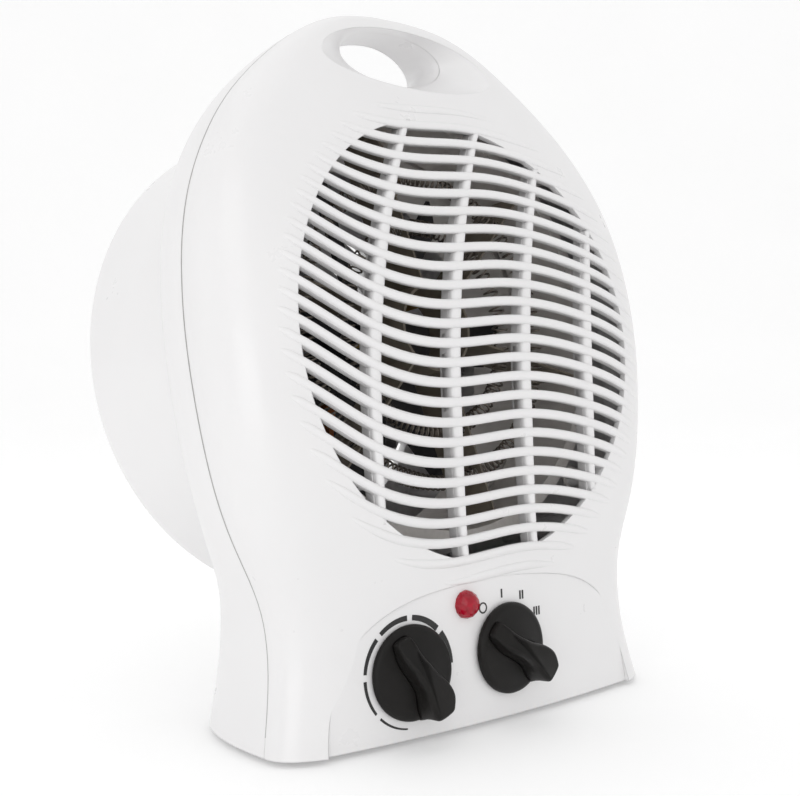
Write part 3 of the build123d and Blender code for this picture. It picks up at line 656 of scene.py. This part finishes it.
def rib_fronts():
    """The ribs' rounded fronts, which rise between the slats nearly to their faces."""
    points, faces = [], []
    wide = len(RIB_SHAPE)
    for i in range(RIB_COUNT):
        line = []
        for step in range(RIB_STEPS + 1):
            z = RIB_FOOT + RIB_HEIGHT * step / RIB_STEPS
            x = RIB_SPACING * (i - (RIB_COUNT - 1) / 2) + rib_bow(z)
            depth = slat_depth(x, z)
            if math.hypot(x, z - GRILLE_HEIGHT) < OPENING + RIB_OVERLAP and depth is not None:
                line.append((x, z, depth))
        start = len(points)
        for j, (x, z, _) in enumerate(line):
            near = [p[2] for p in line[max(0, j - 2):j + 3]]
            depth = sum(near) / len(near)
            swell = math.sin(math.pi * j / (len(line) - 1))
            half = (RIB_END + (RIB_MIDDLE - RIB_END) * swell) / 2
            for across, lift in RIB_SHAPE:
                points.append(place(x + across * half, -(depth + lift), z))
        faces += ring_faces(start, len(line), wide)
        last = start + (len(line) - 1) * wide
        faces.append(tuple(start + k for k in range(wide)))
        faces.append(tuple(last + k for k in reversed(range(wide))))
    add_mesh("rib_fronts", points, faces, "white", "casing")


rib_fronts()


# ---- seam and drum ---------------------------------------------------------------------------

REAR = surface("rear_casing")
# In metres:
SEAM_HALF = 0.00018
SEAM_PROUD = 0.00003
SEAM_SUNK = -0.0004
SEAM_PROBE = 0.0004                           # the outline is found this far behind the seam
SEAM_RAY_START = 0.25
SEAM_RAY_LENGTH = 0.2
SEAM_MIDDLE = 115.0                           # rays start around this height
SEAM_STEPS = 480
SEAM_FROM = -52.0                             # in degrees
SEAM_SWEEP = 284.0
SEAM_LOWEST = RISE + 0.0004                   # above the floor, in metres


def painted_seam_shadow():
    """A fine grey line along the seam where the front and rear casings meet; its grey is painted
    shadow, standing in for the gap between them.
    """
    middle = place(0, SEAM_PROBE / MM, SEAM_MIDDLE)
    points = []
    for i in range(SEAM_STEPS + 1):
        angle = math.radians(SEAM_FROM + SEAM_SWEEP * i / SEAM_STEPS)
        out = Vector((math.cos(angle), 0, 0)) + UP * math.sin(angle)
        hit = REAR.ray_cast(middle + out * SEAM_RAY_START, -out, SEAM_RAY_LENGTH)[0]
        if hit is None or hit.z < SEAM_LOWEST:
            continue
        hit = hit - BACK * SEAM_PROBE
        for across, lift in ((-SEAM_HALF, SEAM_SUNK), (-SEAM_HALF, SEAM_PROUD),
                             (SEAM_HALF, SEAM_PROUD), (SEAM_HALF, SEAM_SUNK)):
            points.append(hit + BACK * across + out * lift)
    rows = len(points) // 4
    last = 4 * (rows - 1)
    faces = ring_faces(0, rows, 4) + [(0, 1, 2, 3), (last + 3, last + 2, last + 1, last)]
    add_mesh("painted_seam_shadow", points, faces, "seam", "casing", smooth=False)


painted_seam_shadow()

SADDLE_RADII = (88.7, 90.98)
SADDLE_DEPTHS = (18.0, 36.0)
SADDLE_HALF = 11.0
SADDLE_STEPS = 12


def drum_saddle():
    """A curved plate that closes the drum's top wall behind the finger hole."""
    inner, outer = SADDLE_RADII
    front, back = SADDLE_DEPTHS
    points = []
    for i in range(SADDLE_STEPS + 1):
        x = SADDLE_HALF * (2 * i / SADDLE_STEPS - 1)
        for radius, depth in ((inner, front), (outer, front), (outer, back), (inner, back)):
            points.append(place(x, depth, FAN_HEIGHT + math.sqrt(radius ** 2 - x ** 2)))
    faces = ring_faces(0, SADDLE_STEPS + 1, 4) + end_faces(0, SADDLE_STEPS + 1, 4, last_first=False)
    add_mesh("drum_saddle", points, faces, "white", "casing", smooth=False)


drum_saddle()


# ---- stage -----------------------------------------------------------------------------------

YAW = math.radians(41.5)                      # which way the camera looks, as for the floor
FLOOR_WHITE = 0.95
FLOOR_GLOW = 0.11
FLOOR_BEND = 1.4                              # in metres: where the floor starts to sweep up
FLOOR_RADIUS = 1.6
FLOOR_STEPS = 24


def floor_material():
    t = Tree("pale_floor")
    cloud = t.noise(t.where(), 3.0, 3.0)
    light = [FLOOR_WHITE] * 3
    dark = [FLOOR_WHITE * 0.985] * 3
    t.set(Base_Color=t.mix(t.remap(cloud, 0.3, 0.7), light, dark), Roughness=0.7)
    t.set(Emission_Color=(1.0, 1.0, 1.0, 1.0), Emission_Strength=FLOOR_GLOW)
    return t.material


def floor():
    """A pale floor that sweeps up into a backdrop far behind."""
    profile = [(-3.0, 0.0), (FLOOR_BEND, 0.0)]
    for i in range(1, FLOOR_STEPS + 1):
        angle = math.pi / 2 * i / FLOOR_STEPS
        profile.append((FLOOR_BEND + FLOOR_RADIUS * math.sin(angle),
                        FLOOR_RADIUS * (1 - math.cos(angle))))
    profile.append((3.0, 4.0))
    ahead_x, ahead_y = math.sin(YAW), math.cos(YAW)
    points, faces = [], []
    for along, height in profile:
        for across in (-5.0, 5.0):
            points.append((ahead_x * along + ahead_y * across,
                           ahead_y * along - ahead_x * across, height))
    for i in range(len(profile) - 1):
        faces.append((2 * i, 2 * i + 1, 2 * i + 3, 2 * i + 2))
    mesh = bpy.data.meshes.new("floor")
    mesh.from_pydata(points, [], faces)
    mesh.polygons.foreach_set("use_smooth", [True] * len(mesh.polygons))
    obj = bpy.data.objects.new("floor", mesh)
    bpy.context.scene.collection.objects.link(obj)
    mesh.materials.append(floor_material())


floor()

# Name, place, size and power; each points at the middle of the heater.
LIGHTS = [
    ("key", (-1.2, -0.8, 1.3), (1.1, 1.1), 2.8),
    ("low_left", (-1.35, -1.1, 0.22), (1.0, 0.6), 3.2),
    ("left_fill", (-1.6, 0.5, 0.5), (1.0, 1.4), 0.6),
    ("top", (0.1, 0.3, 1.7), (1.4, 1.4), 2.0),
]
LIGHT_TARGET = Vector((0, 0, 0.12))
WORLD_STRENGTH = 0.86


def area_light(name, position, size, power):
    data = bpy.data.lights.new(name, "AREA")
    data.shape = "RECTANGLE"
    data.size, data.size_y = size
    data.energy = power
    obj = bpy.data.objects.new(name, data)
    bpy.context.scene.collection.objects.link(obj)
    obj.location = position
    obj.rotation_euler = (LIGHT_TARGET - Vector(position)).to_track_quat("-Z", "Y").to_euler()


for light in LIGHTS:
    area_light(*light)

world = bpy.data.worlds.new("studio")
bpy.context.scene.world = world
world.use_nodes = True
backdrop = world.node_tree.nodes["Background"]
backdrop.inputs["Color"].default_value = (1.0, 1.0, 1.0, 1.0)
backdrop.inputs["Strength"].default_value = WORLD_STRENGTH


# ---- camera ----------------------------------------------------------------------------------

TILT = math.radians(-1.76)
ROLL = math.radians(-0.47)
EYE = Vector((-0.3237, -0.3327, 0.1230)) + Vector((0, ORIGIN.y, RISE))
SENSOR = 36.0
FOCAL_WIDTHS = 1.669                          # focal length over the picture's width

ahead = Vector((math.sin(YAW) * math.cos(TILT), math.cos(YAW) * math.cos(TILT), math.sin(TILT)))
right = Vector((math.cos(YAW), -math.sin(YAW), 0))
above = right.cross(ahead)
turned_right = right * math.cos(ROLL) + above * math.sin(ROLL)
turned_up = above * math.cos(ROLL) - right * math.sin(ROLL)
camera_data = bpy.data.cameras.new("camera")
camera_data.sensor_width = SENSOR
camera_data.lens = SENSOR * FOCAL_WIDTHS
camera_data.clip_start = 0.01
camera = bpy.data.objects.new("camera", camera_data)
bpy.context.scene.collection.objects.link(camera)
camera.matrix_world = Matrix((
    (turned_right.x, turned_up.x, -ahead.x, EYE.x),
    (turned_right.y, turned_up.y, -ahead.y, EYE.y),
    (turned_right.z, turned_up.z, -ahead.z, EYE.z),
    (0, 0, 0, 1)))
bpy.context.scene.camera = camera
bpy.context.scene.view_settings.view_transform = "Standard"
